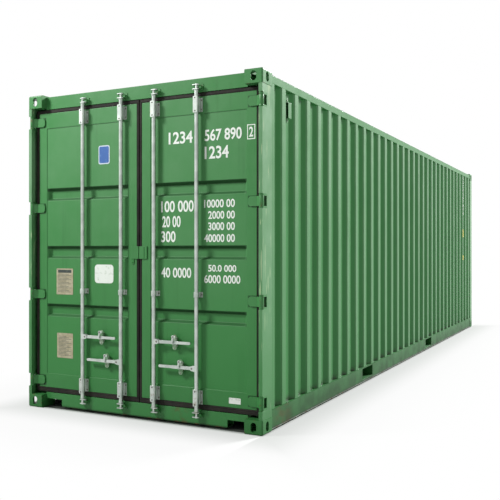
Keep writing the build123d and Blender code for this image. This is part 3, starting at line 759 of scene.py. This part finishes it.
keeper_green = enamel("keeper green", 0.3, 0.3, 0.3, 0.3, cam_wear)
finish("cam_keepers", keeper_green, 0.0015)
rod_places = (-0.598, -0.173, 0.173, 0.598)
half_plate_wide, half_plate_high, plate_corner = 0.019, 0.068, 0.004
plate_front_y, plate_back_y, sleeve_rivet_y, sleeve_rivet_step = -4.5600, -4.5565, -4.5599, 0.054
bolt_y, bolt_across, bolt_step = -4.5065, 0.033, 0.038
guide_bolt_y, guide_level = -4.5025, 1.09
for number in range(1, 5):
    finish(f"lock_rod_{number}", zinc)
for side, leaf in ((-1, "left_door"), (1, "right_door")):
    finish(leaf + "_rod_brackets", zinc, 0.0015)
    dots, bolts = [], []
    for place in rod_places:
        if place * side > 0:
            for level in (0.24, 2.66):
                outline = rounded(
                    place - half_plate_wide, place + half_plate_wide,
                    level - half_plate_high, level + half_plate_high, plate_corner)
                plate = f"sleeve_plate_{len(dots)}_{leaf}"
                flat_piece(plate, outline, plate_front_y, plate_back_y, zinc, leaf, 0.0005)
                for shift in (-sleeve_rivet_step, sleeve_rivet_step):
                    dots.append((place, sleeve_rivet_y, level + shift))
                for x in (-bolt_across, bolt_across):
                    bolts += [(place + x, bolt_y, level + shift) for shift in (-bolt_step, bolt_step)]
            bolts += [(place + x, guide_bolt_y, guide_level) for x in (-bolt_across, bolt_across)]
    studs(leaf + "_sleeve_rivets", dots, (0, -1, 0), 0.0065, 0.0022, 12, rivet_steel, leaf)
    studs(leaf + "_bracket_bolts", bolts, (0, -1, 0), 0.0075, 0.005, 6, steel, leaf)


# Handles, cradles and catches. Flat bars on a rivet in the clevis of each rod lie on the ledge of a
# cradle, and a swivelling finger keeps them there. All are galvanised, and the cradles were caught by
# the spray when the doors were painted.

oversprayed = Coat("zinc under overspray")
mist = oversprayed.cloud(16.0, 4.0)
misty = oversprayed.over(mist.between(0.3, 0.62), tint(168, 182, 164), tint(112, 152, 112))
worn = oversprayed.cloud(48.0, 5.0).between(0.62, 0.68)
misty = oversprayed.over(worn * 0.8, misty, tint(122, 84, 58))
oversprayed.pour(misty, 0.5 + worn * 0.3, mist * 0.4 - worn * 0.4, 0.0005, Metallic=0.15)
for number in range(1, 5):
    finish(f"handle_{number}", zinc, 0.003)
    finish(f"handle_catch_{number}", zinc, 0.0015)
for leaf in ("left_door", "right_door"):
    finish(leaf + "_handle_cradles", oversprayed, 0.0015)
for number, (leaf, hub, cradle, level) in enumerate((
    ("left_door", -0.560, -0.392, 0.684), ("left_door", -0.211, -0.332, 0.480),
    ("right_door", 0.211, 0.379, 0.684), ("right_door", 0.560, 0.439, 0.480),
), 1):
    for name, place, radius, rise, body in (
        ("clevis_rivet", (hub, -4.5525, level), 0.0085, 0.003, f"rod_{number}"),
        ("catch_rivet", (cradle, -4.5595, level + 0.048), 0.007, 0.0022, leaf),
        ("cradle_rivet", (cradle, -4.5265, level - 0.05), 0.007, 0.004, leaf),
    ):
        studs(f"{name}_{number}", [place], (0, -1, 0), radius, rise, 12, steel, body)


# Numbers, plates and stickers. White paint sprayed through a stencil, two plates of thin brass sheet
# riveted to the left leaf, and a few plain stickers. All are blank or bear plain numbers only.

def thin_coat(name, fresh, aged, roughness):
    """Spray paint or a printed film: one colour that has weathered in patches."""
    coat = Coat(name)
    patchy = coat.cloud(34.0, 5.0)
    colour = coat.over(patchy.between(0.54, 0.72), tint(*fresh), tint(*aged))
    return coat.pour(colour, roughness + patchy * 0.1, patchy, 0.0002)


white = thin_coat("stencil white", (228, 233, 226), (186, 206, 186), 0.5)


def stencil(name, figures, corner, wide, tall, body="right_door", turn=0.0):
    """Plain figures that fill a field of a given width and height from its lower left corner."""
    text = bpy.data.curves.new(name, "FONT")
    text.body = figures
    text.extrude = 0.002
    text.offset = 0.02
    text.materials.append(white.material)
    piece = bpy.data.objects.new(name, text)
    bpy.context.scene.collection.objects.link(piece)
    bpy.context.view_layer.update()
    low, high = Vector(piece.bound_box[0]), Vector(piece.bound_box[6])
    across, up = wide / (high.x - low.x), tall / (high.y - low.y)
    ahead = Vector((math.cos(turn), math.sin(turn), 0.0))
    piece.scale = (across, up, 0.2)
    piece.rotation_euler = (math.pi / 2, 0.0, turn)
    piece.location = Vector(corner) - ahead * low.x * across - Vector((0.0, 0.0, low.y * up))
    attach(piece, body)
    return piece


def bars(name, boxes, coat, body):
    """Square bars, each from its reach in x, in y and in z."""
    points, faces = [], []
    for box in boxes:
        first = len(points)
        points += [(x, y, z) for x in box[0] for y in box[1] for z in box[2]]
        for side in ((0, 1, 3, 2), (4, 5, 7, 6), (0, 1, 5, 4), (2, 3, 7, 6), (0, 2, 6, 4), (1, 3, 7, 5)):
            faces.append(tuple(first + corner for corner in side))
    return build(name, points, faces, coat, body, smooth=False)


door_paint_y, stile_paint = -4.4970, (-4.5010, -4.5002)
for number, (figures, left, right, low, high) in enumerate((
    ("1234", 0.301, 0.539, 2.354, 2.456), ("567 890", 0.655, 1.001, 2.357, 2.454),
    ("1234", 0.655, 0.882, 2.210, 2.314),
    ("100 000", 0.225, 0.549, 1.780, 1.876), ("20 00", 0.235, 0.420, 1.652, 1.748),
    ("300", 0.225, 0.370, 1.526, 1.620), ("40 0000", 0.225, 0.525, 1.226, 1.311),
    ("10000 00", 0.650, 0.938, 1.808, 1.875), ("2000 00", 0.689, 0.938, 1.715, 1.780),
    ("3000 00", 0.689, 0.938, 1.622, 1.687), ("40000 00", 0.650, 0.938, 1.525, 1.590),
    ("50.0 000", 0.689, 0.951, 1.282, 1.338), ("6000 0000", 0.650, 0.988, 1.187, 1.255),
), 1):
    stencil(f"stencilled_figures_{number}", figures, (left, door_paint_y, low), right - left, high - low)
frame_bars = [
    ((left, right), stile_paint, (low, high)) for left, right, low, high in (
        (1.052, 1.059, 2.346, 2.465), (1.117, 1.124, 2.346, 2.465),
        (1.059, 1.117, 2.346, 2.353), (1.059, 1.117, 2.458, 2.465))
]
bars("figure_frame", frame_bars, white, "right_door")
stencil("boxed_figure", "2", (1.070, -4.5007, 2.366), 0.036, 0.080)
upright = "\n".join("1234567890")
stencil("upright_figures", upright, (1.2134, 3.6895, 2.090), 0.058, 0.687, "container", math.pi / 2)

film_thick, film_roughness = 0.0009, 0.35
decals = (
    ("sticker_edge", (200, 210, 220), (170, 184, 196), "left_door",
     (-0.447, -0.324, 2.226, 2.393), -4.4964, 0.018),
    ("blue_sticker", (44, 92, 158), (84, 126, 176), "left_door",
     (-0.438, -0.333, 2.236, 2.383), -4.4972, 0.012),
    ("white_patch", (226, 232, 224), (196, 206, 192), "left_door",
     (-0.489, -0.282, 1.164, 1.330), -4.4964, 0.030),
    ("low_label", (228, 232, 226), (188, 196, 184), "right_door",
     (0.885, 0.993, 0.215, 0.263), -4.4999, 0.004),
)
for name, fresh, aged, body, (left, right, low, high), back, radius in decals:
    film = thin_coat(name.replace("_", " ") + " film", fresh, aged, film_roughness)
    outline = rounded(left, right, low, high, radius)
    flat_piece(name, outline, back - film_thick, back, film, body)

brass = Coat("weathered brass sheet")
dull = brass.cloud(26.0, 5.0)
brass.pour(
    brass.over(dull.between(0.3, 0.7), tint(176, 168, 142), tint(156, 150, 122)),
    0.45 + dull * 0.2, dull, 0.0002, Metallic=0.3)
dark_print = thin_coat("dark print", (44, 54, 50), (84, 96, 84), 0.5)
brass_front_y, brass_back_y, print_y = -4.4985, -4.4964, (-4.4988, -4.4984)
margin, first_rule, rule_pitch, rule_wide, shorter = 0.018, 0.022, 0.0125, 0.0035, 0.03
rivet_inset, rivet_y = 0.01, -4.4984
for number, left, right, low, high, rows in (
    (1, -0.934, -0.740, 1.051, 1.289, 14), (2, -0.927, -0.741, 0.467, 0.694, 15),
):
    flat_piece(
        f"riveted_plate_{number}", rounded(left, right, low, high, 0.006), brass_front_y, brass_back_y,
        brass, "left_door", 0.0004)
    rules = []
    for row in range(rows):
        z = low + first_rule + rule_pitch * row
        rules.append(((left + margin, right - margin - shorter * (row % 3)), print_y, (z, z + rule_wide)))
    bars(f"plate_rules_{number}", rules, dark_print, "left_door")
    pins = [
        (x, rivet_y, z)
        for x in (left + rivet_inset, right - rivet_inset) for z in (low + rivet_inset, high - rivet_inset)
    ]
    studs(f"plate_rivets_{number}", pins, (0, -1, 0), 0.004, 0.0016, 10, steel, "left_door")
flat_piece(
    "plate_header", rounded(-0.916, -0.758, 1.250, 1.278, 0.001), -4.4989, -4.4984,
    dark_print, "left_door")
yellow = thin_coat("yellow film", (214, 200, 96), (176, 172, 104), 0.4)
patch_x, patch_y = (1.2128, 1.2138), (3.690, 3.747)
for number, low, high in ((1, 1.690, 1.830), (2, 1.280, 1.365)):
    band = [(patch_x, patch_y, (low, high))]
    bars(f"yellow_patch_{number}", band, yellow, "container")


# Ground, light and camera. A pale level floor under a white surrounding, with shadow painted on it under the
# box and along its right side, a soft lamp ahead of the doors and a wide one far beyond the blind end, whose
# light grazes the ribbed side.

def seen_rays(nodes):
    """1 for rays of the camera, of reflections and of glass, 0 for the others."""
    path = nodes.add("ShaderNodeLightPath")
    seen = path.work("MAXIMUM", path.out("Is Glossy Ray"))
    return seen.work("MAXIMUM", path.out("Is Transmission Ray"))


plain_white = (1.0, 1.0, 1.0, 1.0)
ground = Coat("pale floor")
# Painted shadow on the floor: dark under the box, and a soft darker band along its right side.
beside = (abs(ground.x) - outer_x).work("MAXIMUM", abs(ground.y) - outer_y)
shaded = (ground.x - outer_x).between(-0.02, 0.0) * beside.between(0.9, 0.2)
pale = ground.over(shaded, tint(196, 198, 196), tint(146, 150, 146))
ground.pour(ground.over(beside.between(-0.05, -0.02), tint(40, 46, 40), pale), 0.9)
glow = ground.add("ShaderNodeEmission", {}, {"Color": plain_white, "Strength": 1.0})
share = beside.between(-0.02, 0.02) * 0.5 + beside.between(0.0, 0.5) * 0.42 + beside.between(0.4, 1.6) * 0.08
plain = Amount(ground, ground.shader.outputs[0])
lifted = ground.add("ShaderNodeMixShader", {}, {0: seen_rays(ground) * share, 1: plain, 2: glow})
ground.fill(ground.tree.nodes["Material Output"], {"Surface": lifted})
half_floor_wide, floor_z = 300, -0.001
floor_mesh = bpy.data.meshes.new("floor")
quarters = ((-1, -1), (1, -1), (1, 1), (-1, 1))
corners = [(x * half_floor_wide, y * half_floor_wide, floor_z) for x, y in quarters]
floor_mesh.from_pydata(corners, [], [(0, 1, 2, 3)])
floor_mesh.materials.append(ground.material)
floor = bpy.data.objects.new("floor", floor_mesh)
bpy.context.scene.collection.objects.link(floor)

world = bpy.data.worlds.new("white surrounding")
bpy.context.scene.world = world
air = Nodes(world)
ambient = 0.28
strength = air.add("ShaderNodeMapRange", {}, {"Value": seen_rays(air), "To Min": ambient, "To Max": 1.0})
air.fill(air.tree.nodes["Background"], {"Color": plain_white, "Strength": strength})

for name, place, target, size, power in (
    ("door lamp", (-4.4, -8.4, 6.2), (0.0, -4.5, 1.8), 1.7, 610.0),
    ("side lamp", (25.0, 49.0, 34.0), (1.2, 0.0, 1.4), 14.0, 88000.0),
):
    lamp = bpy.data.lights.new(name, "AREA")
    lamp.shape = "DISK"
    lamp.size = size
    lamp.energy = power
    holder = bpy.data.objects.new(name, lamp)
    holder.location = place
    holder.rotation_euler = (Vector(target) - Vector(place)).to_track_quat("-Z", "Y").to_euler()
    bpy.context.scene.collection.objects.link(holder)

eye = bpy.data.cameras.new("camera")
eye.lens = 51.87
eye.sensor_width = 36.0
camera = bpy.data.objects.new("camera", eye)
camera.location = (3.691, -9.6325, 1.46)
camera.rotation_euler = (math.pi / 2, 0.0, math.radians(26.99))
bpy.context.scene.collection.objects.link(camera)
bpy.context.scene.camera = camera
bpy.context.scene.view_settings.view_transform = "Standard"
